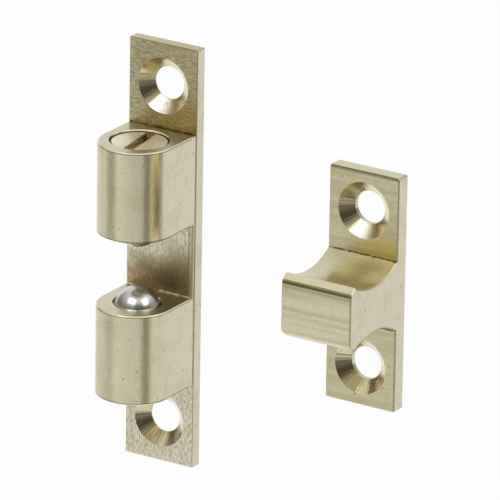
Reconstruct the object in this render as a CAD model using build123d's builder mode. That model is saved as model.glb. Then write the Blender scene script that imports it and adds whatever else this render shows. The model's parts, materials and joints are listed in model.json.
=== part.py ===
from build123d import *
from math import radians, sqrt, tan
import os

# Double ball catch: a brass catch that holds two sprung steel balls across a gap, and the brass
# strike whose waisted tongue the balls grip. Sizes are millimetres. +Z runs up the catch, the plates
# face -Y and +X is to the right. The origin is the middle of the catch's back face.

# Catch body, one piece milled from a drawn bar with a rounded nose
plate_length = 60.0
plate_width = 10.9
plate_thickness = 1.8
boss_length = 36.0
boss_depth = 13.4               # from the back face to the tip of the nose
boss_inset = 0.12               # the bosses' flanks stand back this much from the plate's
gap_height = 10.4
gap_floor_thickness = 2.2       # the gap's cutter stops short of the plate's front face
edge_break = 0.1
rim_break = 0.15                # on the bosses' rims

# Countersunk screw holes
hole_radius = 2.3
countersink_radius = 3.95
countersink_angle = 90.0
strike_hole_inset = 5.5         # from the end of the strike's plate

# Stepped bores, one in each boss
bore_setback = 7.5              # from the back face to the axis that both bores share
lip_height = 0.3                # the drill stops this far short of the gap
lip_grip = 0.04                 # how far the lip reaches in over the ball
mouth_width = 0.32              # the mouth opens this much wider than the lip
mouth_depth = 0.2
ball_bore_clearance = 0.075
thread_radius = 4.0
thread_chamfer = 0.15
drill_point_angle = 118.0

# Steel balls
ball_radius = 3.175

# Slotted adjusting screws
thread_pitch = 0.75
adjusting_turns = 1.25
screw_length = 3.0
screw_recess = 0.25
screw_slot_width = 1.5
screw_slot_depth = 1.2
screw_slot_angle = 98.0         # the upper screw's, turned from +X about +Z
lower_slot_turn = 37.0          # the lower screw stands this much further round
screw_head_chamfer = 0.15
screw_point_chamfer = 0.4
thread_clearance = 0.03         # radial, so that the screw turns in its bore
thread_runout = 0.4

# Compression springs
wire_radius = 0.35
coil_radius = 2.5               # to the middle of the wire
coil_turns = 4.0
wire_sides = 8                  # enough for a wire this thin
seat_clearance = 0.015          # left between pieces that bear on each other

# Strike, one piece milled from a drawn bar
strike_length = 33.1
strike_width = 10.8
strike_thickness = 2.3
tongue_depth = 11.6             # from the plate's front face to the flat end
tongue_root_height = 9.8
tongue_neck_height = 6.4
tongue_neck_setback = 5.3       # from the plate's front face to the waist
tongue_head_height = 8.9
tongue_end_height = 7.2
tongue_bevel_depth = 1.1
tongue_corner_radius = 0.8
strike_edge_break = 0.18

# The strike stands to the right of the catch, with both back faces in one plane
strike_offset_x = 32.2
strike_offset_z = 2.0

# Worked out from the sizes above
boss_width = plate_width - 2 * boss_inset
nose_radius = boss_width / 2
nose_centre = nose_radius - boss_depth
bore_axis = -bore_setback
boss_end = boss_length / 2
gap_edge = gap_height / 2
catch_hole_height = (boss_end + plate_length / 2) / 2
strike_hole_height = strike_length / 2 - strike_hole_inset

ball_bore_radius = ball_radius + ball_bore_clearance
lip_radius = ball_radius - lip_grip
lip_top = gap_edge + lip_height
ball_seat_radius = ball_radius + seat_clearance
ball_centre = lip_top + sqrt(ball_seat_radius ** 2 - lip_radius ** 2)

screw_radius = thread_radius - thread_clearance
screw_face = boss_end - screw_recess
screw_point = screw_face - screw_length
screw_travel = thread_pitch * adjusting_turns
thread_end = screw_point - screw_travel - thread_runout
drill_cone_height = (thread_radius - ball_bore_radius) / tan(radians(drill_point_angle / 2))

spring_start = ball_centre + sqrt(ball_seat_radius ** 2 - (coil_radius - wire_radius) ** 2)
spring_end = screw_point - seat_clearance
spring_length = spring_end - spring_start

tongue_front = -strike_thickness - tongue_depth
tongue_bevel = tongue_front + tongue_bevel_depth
tongue_neck = -strike_thickness - tongue_neck_setback

bore_line = Axis((0, bore_axis, 0), (0, 0, 1))
turnover_line = Axis((0, bore_axis, 0), (1, 0, 0))
bore_section = Plane((0, bore_axis, 0), x_dir=(0, 1, 0), z_dir=(1, 0, 0))
tongue_flank = (strike_offset_x - strike_width / 2, 0, strike_offset_z)
tongue_section = Plane(tongue_flank, x_dir=(0, 1, 0), z_dir=(1, 0, 0))


# Catch body: a plate, and on its middle a round-nosed bar that a gap parts into two bosses
with BuildPart() as catch_body:
    with BuildSketch(Plane.XY.offset(-plate_length / 2)):
        Rectangle(plate_width, plate_thickness, align=(Align.CENTER, Align.MAX))
    extrude(amount=plate_length)
    chamfer(catch_body.edges(), edge_break)
    with BuildSketch(Plane.XY.offset(-boss_end)):
        with Locations((0, nose_centre)):
            Circle(nose_radius)
        with Locations((0, nose_centre / 2)):
            Rectangle(boss_width, -nose_centre)
    extrude(amount=boss_length)
    with BuildSketch(Plane.XY.offset(-gap_edge)):
        with Locations((0, -gap_floor_thickness)):
            Rectangle(2 * plate_width, boss_depth, align=(Align.CENTER, Align.MAX))
    extrude(amount=gap_height, mode=Mode.SUBTRACT)

    # Burrs taken off the bosses' rims and off the long sides of the gap's floor
    nose_rims = catch_body.edges().filter_by(GeomType.CIRCLE)
    flank_rims = catch_body.edges().filter_by(Axis.Y).filter_by(lambda edge: edge.center().Y < -plate_thickness)
    floor_sides = catch_body.edges().filter_by(Axis.Z).filter_by(
        lambda edge: abs(edge.center().Y + gap_floor_thickness) < edge_break
    )
    chamfer(nose_rims + flank_rims + floor_sides, rim_break)

    # Stepped bore of the upper boss, from the gap's side up: mouth, lip, ball bore and thread
    with BuildSketch(bore_section):
        with BuildLine():
            Polyline(
                (0, gap_edge - mouth_depth),
                (lip_radius + 2 * mouth_width, gap_edge - mouth_depth),
                (lip_radius, gap_edge + mouth_depth),
                (lip_radius, lip_top),
                (ball_bore_radius, lip_top),
                (ball_bore_radius, thread_end - drill_cone_height),
                (thread_radius, thread_end),
                (thread_radius, boss_end - thread_chamfer),
                (thread_radius + 2 * thread_chamfer, boss_end + thread_chamfer),
                (0, boss_end + thread_chamfer),
                close=True,
            )
        make_face()
    bore = revolve(axis=bore_line, mode=Mode.SUBTRACT)
    # The lower boss has the same bore, turned over
    add(bore.rotate(turnover_line, 180), mode=Mode.SUBTRACT)

    with Locations(
        Location((0, -plate_thickness, catch_hole_height), (90, 0, 0)),
        Location((0, -plate_thickness, -catch_hole_height), (90, 0, 0)),
    ):
        CounterSinkHole(hole_radius, countersink_radius, counter_sink_angle=countersink_angle)


# Balls: each rests against the lip at the mouth of its bore
with BuildPart() as upper_ball:
    with Locations((0, bore_axis, ball_centre)):
        Sphere(ball_radius)

with BuildPart() as lower_ball:
    add(upper_ball.part.rotate(turnover_line, 180))


# Springs: round wire with both ends ground flat, one on the ball and one on the screw
with BuildPart() as upper_spring:
    with BuildLine():
        coil = Helix(spring_length / coil_turns, spring_length, coil_radius, center=(0, bore_axis, spring_start))
    with BuildSketch(Plane(origin=coil @ 0, z_dir=coil % 0)):
        RegularPolygon(wire_radius, wire_sides)
    sweep()
    with BuildSketch(Plane.XY.offset(spring_start)):
        with Locations((0, bore_axis)):
            Circle(coil_radius + 2 * wire_radius)
    extrude(amount=spring_length, mode=Mode.INTERSECT)

with BuildPart() as lower_spring:
    add(upper_spring.part.rotate(turnover_line, 180))


# Adjusting screws: headless, with a slot across the outer face and a chamfered point
with BuildPart() as upper_adjusting_screw:
    with BuildSketch(Plane.XY.offset(screw_point)):
        with Locations((0, bore_axis)):
            Circle(screw_radius)
    extrude(amount=screw_length)
    chamfer(upper_adjusting_screw.edges().group_by(Axis.Z)[-1], screw_head_chamfer)
    chamfer(upper_adjusting_screw.edges().group_by(Axis.Z)[0], screw_point_chamfer)
    with BuildSketch(Plane.XY.offset(screw_face - screw_slot_depth)):
        with Locations((0, bore_axis)):
            Rectangle(4 * screw_radius, screw_slot_width, rotation=screw_slot_angle)
    extrude(amount=screw_slot_depth, mode=Mode.SUBTRACT)

with BuildPart() as lower_adjusting_screw:
    add(upper_adjusting_screw.part.rotate(turnover_line, 180).rotate(bore_line, lower_slot_turn))


# Strike: a plate with a waisted tongue across its middle
with BuildPart() as strike_plate:
    with BuildSketch(Plane.XZ):
        with Locations((strike_offset_x, strike_offset_z)):
            Rectangle(strike_width, strike_length)
    extrude(amount=strike_thickness)
    with BuildSketch(tongue_section) as tongue_profile:
        with BuildLine():
            Polyline(
                (-strike_thickness, -tongue_root_height / 2),
                (-strike_thickness / 2, -tongue_root_height / 2),
                (-strike_thickness / 2, tongue_root_height / 2),
                (-strike_thickness, tongue_root_height / 2),
            )
            ThreePointArc(
                (-strike_thickness, tongue_root_height / 2),
                (tongue_neck, tongue_neck_height / 2),
                (tongue_bevel, tongue_head_height / 2),
            )
            Polyline(
                (tongue_bevel, tongue_head_height / 2),
                (tongue_front, tongue_end_height / 2),
                (tongue_front, -tongue_end_height / 2),
                (tongue_bevel, -tongue_head_height / 2),
            )
            ThreePointArc(
                (tongue_bevel, -tongue_head_height / 2),
                (tongue_neck, -tongue_neck_height / 2),
                (-strike_thickness, -tongue_root_height / 2),
            )
        make_face()
        fillet(tongue_profile.vertices().group_by(Axis.X)[0], tongue_corner_radius)
    extrude(amount=strike_width)

    # The two roots of the tongue stay sharp, and so do the lines across its head
    across = strike_plate.edges().filter_by(Axis.X)
    tongue_roots = across.filter_by(
        lambda edge: abs(edge.center().Y + strike_thickness) < strike_edge_break
        and abs(edge.center().Z - strike_offset_z) < strike_hole_height
    )
    head_lines = across.filter_by(lambda edge: edge.center().Y < tongue_neck)
    chamfer(strike_plate.edges() - tongue_roots - head_lines, strike_edge_break)

    with Locations(
        Location((strike_offset_x, -strike_thickness, strike_offset_z + strike_hole_height), (90, 0, 0)),
        Location((strike_offset_x, -strike_thickness, strike_offset_z - strike_hole_height), (90, 0, 0)),
    ):
        CounterSinkHole(hole_radius, countersink_radius, counter_sink_angle=countersink_angle)


os.makedirs("parts", exist_ok=True)

catch_body.part.label = "catch_body"
export_step(catch_body.part, "parts/catch_body.step")
strike_plate.part.label = "strike_plate"
export_step(strike_plate.part, "parts/strike_plate.step")
upper_ball.part.label = "upper_ball"
export_step(upper_ball.part, "parts/upper_ball.step")
lower_ball.part.label = "lower_ball"
export_step(lower_ball.part, "parts/lower_ball.step")
upper_spring.part.label = "upper_spring"
export_step(upper_spring.part, "parts/upper_spring.step")
lower_spring.part.label = "lower_spring"
export_step(lower_spring.part, "parts/lower_spring.step")
upper_adjusting_screw.part.label = "upper_adjusting_screw"
export_step(upper_adjusting_screw.part, "parts/upper_adjusting_screw.step")
lower_adjusting_screw.part.label = "lower_adjusting_screw"
export_step(lower_adjusting_screw.part, "parts/lower_adjusting_screw.step")
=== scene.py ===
"""Dresses the double ball catch: milled brass, bearing-steel balls, spring wire and studio."""

import json
import logging
import math
from dataclasses import dataclass, field
from enum import Enum

import bpy
import numpy as np
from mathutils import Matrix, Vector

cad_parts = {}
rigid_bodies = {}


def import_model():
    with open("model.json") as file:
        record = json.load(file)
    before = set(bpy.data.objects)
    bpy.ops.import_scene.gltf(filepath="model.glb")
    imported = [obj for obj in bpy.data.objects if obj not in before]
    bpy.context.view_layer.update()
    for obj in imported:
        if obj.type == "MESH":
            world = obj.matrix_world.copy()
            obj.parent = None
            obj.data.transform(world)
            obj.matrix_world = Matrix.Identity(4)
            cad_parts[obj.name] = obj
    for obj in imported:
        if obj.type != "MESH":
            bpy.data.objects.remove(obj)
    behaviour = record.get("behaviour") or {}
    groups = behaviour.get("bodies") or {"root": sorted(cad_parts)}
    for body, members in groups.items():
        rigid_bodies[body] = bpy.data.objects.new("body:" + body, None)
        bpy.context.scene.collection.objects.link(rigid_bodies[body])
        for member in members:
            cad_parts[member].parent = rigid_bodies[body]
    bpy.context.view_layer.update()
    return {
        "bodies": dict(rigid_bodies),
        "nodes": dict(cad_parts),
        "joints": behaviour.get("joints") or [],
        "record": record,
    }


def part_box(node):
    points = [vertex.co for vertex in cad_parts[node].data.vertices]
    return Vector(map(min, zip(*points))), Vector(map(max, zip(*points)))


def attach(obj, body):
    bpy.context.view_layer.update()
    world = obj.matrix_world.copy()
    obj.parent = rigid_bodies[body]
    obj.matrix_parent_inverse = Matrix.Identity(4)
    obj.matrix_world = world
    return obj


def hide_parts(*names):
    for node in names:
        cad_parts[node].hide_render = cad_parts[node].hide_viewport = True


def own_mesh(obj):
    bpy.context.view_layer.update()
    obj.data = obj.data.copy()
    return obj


LOG = logging.getLogger("double_ball_catch")

MM = 0.001
IMAGE_PIXELS = 500
SENSOR_MM = 36.0
# Either part of a direction that is turned 45 degrees.
DIAGONAL = 0.707

Socket = bpy.types.NodeSocket
Colour = tuple[float, float, float, float]
Border = tuple[float, float, float, float]
EVERYWHERE: Border = (-99.0, -98.0, 98.0, 99.0)


def grey(value: float) -> Colour:
    """Gives a neutral colour of that value."""
    return (value, value, value, 1.0)


class Side(Enum):
    """Which of the catch's two bores a piece belongs to, by the way from its ball to its screw."""

    UPPER = 1
    LOWER = -1

    @property
    def word(self) -> str:
        """Gives the word that the CAD nodes' names begin with."""
        return self.name.lower()


class Graph:
    """Places shader nodes in one node tree and joins them, so that a formula reads as one line."""

    def __init__(self, tree: bpy.types.NodeTree) -> None:
        """Takes an empty node tree.

        Args:
            tree: The tree of a material, a world, or a node group.
        """
        self.tree = tree
        self.column = 0

    def node(self, kind: str, **settings: object) -> bpy.types.Node:
        """Adds one node.

        Args:
            kind: The node's Blender type name.
            **settings: Values for the node's own properties.

        Returns:
            The new node.
        """
        new = self.tree.nodes.new(kind)
        for name, value in settings.items():
            setattr(new, name, value)
        new.location = (self.column * 180.0, 0.0)
        self.column += 1
        return new

    def feed(self, socket: Socket, value: object) -> None:
        """Joins a socket to another, or writes a plain value on it.

        Args:
            socket: The input socket.
            value: An output socket, a number, or a tuple of numbers.
        """
        if isinstance(value, bpy.types.NodeSocket):
            self.tree.links.new(value, socket)
        elif value is not None:
            socket.default_value = value

    def math(self, operation: str, a: object, b: object = None, clamp: bool = False) -> Socket:
        """Adds a Math node.

        Args:
            operation: The node's operation.
            a: First value or socket.
            b: Second value or socket, if the operation has one.
            clamp: Whether the result is kept between 0 and 1.

        Returns:
            The result's socket.
        """
        new = self.node("ShaderNodeMath", operation=operation, use_clamp=clamp)
        for socket, value in zip(new.inputs, (a, b)):
            self.feed(socket, value)
        return new.outputs[0]

    def times(self, product: object, *others: object) -> Socket:
        """Multiplies values.

        Args:
            product: The first value.
            *others: What it is multiplied by, in order.

        Returns:
            The product's socket.
        """
        for other in others:
            product = self.math("MULTIPLY", product, other)
        return product

    def most(self, highest: object, *others: object) -> Socket:
        """Picks the highest of some values.

        Args:
            highest: The first value.
            *others: What it is compared with.

        Returns:
            The socket of the highest.
        """
        for other in others:
            highest = self.math("MAXIMUM", highest, other)
        return highest

    def plus(self, a: object, b: object) -> Socket:
        """Gives a and b together."""
        return self.math("ADD", a, b)

    def minus(self, a: object, b: object) -> Socket:
        """Gives a less b."""
        return self.math("SUBTRACT", a, b)

    def size(self, value: object) -> Socket:
        """Gives a value without its sign."""
        return self.math("ABSOLUTE", value)

    def distance(self, a: object, b: object) -> Socket:
        """Gives the length of a way whose two parts, square to each other, are a and b."""
        return self.math("SQRT", self.plus(self.times(a, a), self.times(b, b)))

    def degrees(self, rise: object, run: object) -> Socket:
        """Gives the angle whose tangent is rise over run, in degrees, in the right quarter."""
        return self.math("DEGREES", self.math("ARCTAN2", rise, run))

    def step(self, value: object, low: object, high: object) -> Socket:
        """Rises smoothly from 0 where value is low to 1 where it is high.

        Args:
            value: The measured value.
            low: Where the rise begins. It may be more than high, and the rise is then a fall.
            high: Where the rise ends.

        Returns:
            The socket of the smooth step.
        """
        new = self.node("ShaderNodeMapRange", interpolation_type="SMOOTHSTEP")
        for name, item in (("Value", value), ("From Min", low), ("From Max", high)):
            self.feed(new.inputs[name], item)
        return new.outputs[0]

    def band(self, value: object, centre: float, half: float, soft: float) -> Socket:
        """Is 1 within half of the centre and falls to 0 over a further soft distance."""
        return self.step(self.size(self.minus(value, centre)), half + soft, half)

    def window(self, value: object, border: Border) -> Socket:
        """Rises and falls again along a value.

        Args:
            value: The measured value.
            border: Where the rise begins, where it is full, where the fall begins and where it ends.

        Returns:
            The socket of the smooth rise and fall.
        """
        begins, full, fades, ended = border
        return self.times(self.step(value, begins, full), self.step(value, ended, fades))

    def mix(self, share: object, a: object, b: object) -> Socket:
        """Blends two colours.

        Args:
            share: 0 gives a, 1 gives b.
            a: First colour.
            b: Second colour.

        Returns:
            The socket of the blend.
        """
        new = self.node("ShaderNodeMix", data_type="RGBA")
        colours = [s for s in new.inputs if s.type == "RGBA"]
        self.feed(new.inputs[0], share)
        self.feed(colours[0], a)
        self.feed(colours[1], b)
        return [s for s in new.outputs if s.type == "RGBA"][0]

    def lerp(self, share: object, a: object, b: object) -> Socket:
        """Blends two numbers: a + share * (b - a).

        Args:
            share: 0 gives a, 1 gives b.
            a: First number.
            b: Second number.

        Returns:
            The socket of the blend.
        """
        new = self.node("ShaderNodeMix", data_type="FLOAT")
        for socket, value in zip([s for s in new.inputs if s.type == "VALUE"], (share, a, b)):
            self.feed(socket, value)
        return [s for s in new.outputs if s.type == "VALUE"][0]

    def split(self, vector: Socket) -> tuple[Socket, Socket, Socket]:
        """Takes a vector apart.

        Args:
            vector: The vector.

        Returns:
            The sockets of its three parts.
        """
        new = self.node("ShaderNodeSeparateXYZ")
        self.feed(new.inputs[0], vector)
        return new.outputs[0], new.outputs[1], new.outputs[2]

    def join(self, x: object, y: object, z: object) -> Socket:
        """Makes a vector.

        Args:
            x: Its first part.
            y: Its second part.
            z: Its third part.

        Returns:
            The vector's socket.
        """
        new = self.node("ShaderNodeCombineXYZ")
        for socket, value in zip(new.inputs, (x, y, z)):
            self.feed(socket, value)
        return new.outputs[0]

    def noise(self, vector: Socket, scale: object, detail: float, rough: float) -> Socket:
        """Adds a Noise Texture.

        Args:
            vector: Where it is read.
            scale: Blotches per unit of the vector.
            detail: How many finer layers are added.
            rough: How strong those layers are.

        Returns:
            The socket of its value, around 0.5.
        """
        new = self.node("ShaderNodeTexNoise")
        for name, value in (("Vector", vector), ("Scale", scale), ("Detail", detail), ("Roughness", rough)):
            self.feed(new.inputs[name], value)
        return new.outputs[0]

    def place(self) -> tuple[Socket, Socket, Socket]:
        """Finds where a point of the surface is.

        Returns:
            Its X, Y and Z in millimetres, in the piece's own coordinates.
        """
        coordinates = self.node("ShaderNodeTexCoord")
        scale = self.node("ShaderNodeVectorMath", operation="SCALE")
        self.feed(scale.inputs[0], coordinates.outputs["Object"])
        scale.inputs["Scale"].default_value = 1.0 / MM
        return self.split(scale.outputs[0])

    def facing(self) -> tuple[Socket, Socket, Socket]:
        """Gives the surface's outward direction as X, Y and Z."""
        return self.split(self.node("ShaderNodeNewGeometry").outputs["Normal"])


class SharedEffects:
    """Node groups that more than one finish places in its own material."""

    def __init__(self) -> None:
        """Builds each group once."""
        self.marks = self._marks()
        self.tarnish = self._tarnish()
        self.thread = self._thread()
        self.turning = self._turning()

    def _group(
        self, name: str, inputs: dict[str, float], outputs: tuple[str, ...]
    ) -> tuple[bpy.types.NodeTree, Graph]:
        """Starts a shader node group.

        Args:
            name: The group's name.
            inputs: Name and first value of each number it takes.
            outputs: Name of each number it gives.

        Returns:
            The group and a graph on it.
        """
        tree = bpy.data.node_groups.new(name, "ShaderNodeTree")
        for label, value in inputs.items():
            taken = tree.interface.new_socket(label, in_out="INPUT", socket_type="NodeSocketFloat")
            taken.default_value = value
        for label in outputs:
            tree.interface.new_socket(label, in_out="OUTPUT", socket_type="NodeSocketFloat")
        return tree, Graph(tree)

    def _marks(self) -> bpy.types.NodeTree:
        """Fine parallel scratches: noise drawn out along one direction, in three layers.

        Each layer has its own frequency across and along the marks and its own number of finer ones.

        Returns:
            A group that takes the coordinate across the marks and the one along them, and gives a
            fine height, a slow streak and short dashes, each around 0.5.
        """
        inputs = {"Across": 0.0, "Along": 0.0, "Depth": 0.0, "Fineness": 6.0}
        layers = (("Height", 1.0, 0.09, 3.0), ("Streak", 0.3, 0.022, 4.0), ("Grain", 0.85, 0.24, 2.0))
        tree, g = self._group("Cutter marks", inputs, tuple(layer[0] for layer in layers))
        take = g.node("NodeGroupInput").outputs
        give = g.node("NodeGroupOutput").inputs
        for label, across, along, detail in layers:
            rows = g.times(take["Across"], g.times(take["Fineness"], across))
            runs = g.times(take["Along"], g.times(take["Fineness"], along))
            g.feed(give[label], g.noise(g.join(rows, runs, take["Depth"]), 1.0, detail, 0.66))
        return tree

    def _tarnish(self) -> bpy.types.NodeTree:
        """Slow blotches and rare small dark specks, as handled brass has.

        Returns:
            A group that gives a blotch around 0.5 and a speck mask between 0 and 1.
        """
        tree, g = self._group("Tarnish", {"Seed": 0.0}, ("Blotch", "Speck"))
        seed = g.node("NodeGroupInput").outputs["Seed"]
        x, y, z = g.place()
        here = g.join(g.plus(x, seed), y, z)
        give = g.node("NodeGroupOutput").inputs
        g.feed(give["Blotch"], g.noise(here, 0.28, 4.0, 0.6))
        g.feed(give["Speck"], g.step(g.noise(here, 2.3, 1.0, 0.4), 0.735, 0.775))
        return tree

    def _thread(self) -> bpy.types.NodeTree:
        """A helical V thread: a triangle wave of height over pitch less angle over a full turn.

        Returns:
            A group that takes the axis's depth and the pitch in millimetres, and gives a height
            between 0 and 1.
        """
        tree, g = self._group("Helical thread", {"Axis Y": 0.0, "Pitch": 1.0}, ("Height",))
        take = g.node("NodeGroupInput").outputs
        x, y, z = g.place()
        turn = g.math("DIVIDE", g.math("ARCTAN2", g.minus(y, take["Axis Y"]), x), 2.0 * math.pi)
        phase = g.math("FRACT", g.minus(g.math("DIVIDE", z, take["Pitch"]), turn))
        wave = g.times(g.size(g.minus(phase, 0.5)), 2.0)
        g.feed(g.node("NodeGroupOutput").inputs["Height"], wave)
        return tree

    def _turning(self) -> bpy.types.NodeTree:
        """Rings and spokes that a countersink leaves round an axis that runs along Y.

        Returns:
            A group that takes the axis and gives the distance from it, the angle round it in degrees
            up from X, a ring height and a spoke height.
        """
        inputs = {"Axis X": 0.0, "Axis Z": 0.0, "Spokes": 7.0}
        tree, g = self._group("Turned cone", inputs, ("Radius", "Angle", "Ring", "Spoke"))
        take = g.node("NodeGroupInput").outputs
        x, _, z = g.place()
        dx, dz = g.minus(x, take["Axis X"]), g.minus(z, take["Axis Z"])
        radius = g.distance(dx, dz)
        around = g.join(g.math("DIVIDE", dx, radius), g.math("DIVIDE", dz, radius), 0.0)
        give = g.node("NodeGroupOutput").inputs
        g.feed(give["Radius"], radius)
        g.feed(give["Angle"], g.degrees(dz, dx))
        g.feed(give["Ring"], g.noise(g.join(g.times(radius, 7.0), 0.0, 0.0), 1.0, 3.0, 0.6))
        g.feed(give["Spoke"], g.noise(around, take["Spokes"], 2.0, 0.5))
        return tree


def placed(g: Graph, group: bpy.types.NodeTree, **values: object) -> bpy.types.Node:
    """Places a node group in a material.

    Args:
        g: The material's graph.
        group: The node group.
        **values: Input values by name, with an underscore for each space.

    Returns:
        The group node.
    """
    new = g.node("ShaderNodeGroup", node_tree=group)
    for name, value in values.items():
        g.feed(new.inputs[name.replace("_", " ")], value)
    return new


def blank_material(name: str) -> tuple[bpy.types.Material, Graph, bpy.types.Node]:
    """Starts a material.

    Args:
        name: The material's name.

    Returns:
        The material, a graph on its tree, and its Principled BSDF.
    """
    material = bpy.data.materials.new(name)
    material.use_nodes = True
    material.node_tree.nodes.clear()
    g = Graph(material.node_tree)
    surface = g.node("ShaderNodeBsdfPrincipled")
    g.feed(g.node("ShaderNodeOutputMaterial").inputs["Surface"], surface.outputs[0])
    return material, g, surface


def finish_metal(g: Graph, surface: bpy.types.Node, colour: Socket, rough: Socket) -> None:
    """Makes a surface a bare metal.

    Args:
        g: The material's graph.
        surface: Its Principled BSDF.
        colour: What it mirrors of white light.
        rough: How dull it is.
    """
    g.feed(surface.inputs["Base Color"], colour)
    g.feed(surface.inputs["Roughness"], rough)
    surface.inputs["Metallic"].default_value = 1.0


def finish_relief(g: Graph, surface: bpy.types.Node, height: Socket, depth: float) -> None:
    """Gives a surface a relief too fine for its mesh.

    Args:
        g: The material's graph.
        surface: Its Principled BSDF.
        height: The relief's height, about 0 to 1.
        depth: What a height of 1 stands for, in metres.
    """
    bump = g.node("ShaderNodeBump")
    bump.inputs["Distance"].default_value = depth
    bump.inputs["Strength"].default_value = 0.6
    g.feed(bump.inputs["Height"], height)
    g.feed(surface.inputs["Normal"], bump.outputs[0])


@dataclass(frozen=True)
class Spot:
    """A point of a surface: where it is and the way it faces.

    Attributes:
        x: Its place across, in millimetres.
        y: Its place in depth.
        z: Its place in height.
        nx: The part across of the direction that it faces.
        ny: The part in depth.
        nz: The part in height.
    """

    x: Socket
    y: Socket
    z: Socket
    nx: Socket
    ny: Socket
    nz: Socket


@dataclass(frozen=True)
class StainAndPaintedLight:
    """A place painted darker, paler or more golden, faded out at its borders: on some a real stain, on
    others painted shade or painted light.

    Each border gives, in millimetres, where the colour begins, is full, starts to fade and has ended.

    Attributes:
        colour: The colour laid over the brass.
        share: How strongly it is laid.
        x: Its borders across.
        y: Its borders in depth.
        z: Its borders in height.
    """

    colour: Colour
    share: float
    x: Border = EVERYWHERE
    y: Border = EVERYWHERE
    z: Border = EVERYWHERE

    def mask(self, g: Graph, at: Spot) -> Socket:
        """Works out how far a point takes the colour: the product of a smooth rise and fall on each axis.

        Args:
            g: The material's graph.
            at: The point.

        Returns:
            The share's socket.
        """
        result = self.share
        for value, border in ((at.x, self.x), (at.y, self.y), (at.z, self.z)):
            if border != EVERYWHERE:
                result = g.times(result, g.window(value, border))
        return result


@dataclass(frozen=True)
class CornerLine:
    """A ragged line painted along an inside corner along X: painted shade where it is dark, a painted
    highlight where it is light.

    Attributes:
        y: The corner's depth, in millimetres.
        z: The corner's height, in millimetres.
        half: Half the line's width, in millimetres.
        colour: The line's colour.
    """

    y: float
    z: float
    half: float
    colour: Colour

    def mask(self, g: Graph, ragged: Socket, at: Spot) -> Socket:
        """Is 1 within half of the corner, measured square to X, with the distance made uneven.

        Args:
            g: The material's graph.
            ragged: A noise around 0.5.
            at: The point.

        Returns:
            The mask's socket.
        """
        away = g.distance(g.minus(at.y, self.y), g.minus(at.z, self.z))
        uneven = g.times(g.minus(ragged, 0.5), 7.0 * self.half)
        return g.step(g.plus(away, uneven), 1.4 * self.half, 0.6 * self.half)


@dataclass(frozen=True)
class Cuts:
    """Where each way of working holds on a milled piece, as masks between 0 and 1.

    Attributes:
        front: The milled fronts.
        flank: The sides that run along Z, as drawn.
        faced: All but the flanks and the backs.
        level: Where the marks run across and not along Z.
        hatched: Where the fronts were cut both ways.
        broken: The bevels along the sides.
    """

    front: Socket
    flank: Socket
    faced: Socket
    level: Socket
    hatched: Socket
    broken: Socket


@dataclass(frozen=True)
class Marks:
    """What the cutter left, each around 0.5.

    Attributes:
        height: Its fine lines.
        streak: Its slow streaks.
        grain: Its short dashes.
        crossing: The fine lines of a second cut, along Z.
    """

    height: Socket
    streak: Socket
    grain: Socket
    crossing: Socket


@dataclass(frozen=True)
class Cones:
    """The countersinks: a mask of their cones, what their cutter left there, and their sectors of painted
    reflection.

    Attributes:
        mask: 1 on the cones.
        ring: Height of the rings.
        spoke: Height of the chatter.
        scorched: 1 in the sectors of painted shade.
        polished: 1 in the sector of painted highlight.
    """

    mask: Socket
    ring: Socket
    spoke: Socket
    scorched: Socket
    polished: Socket


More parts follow.
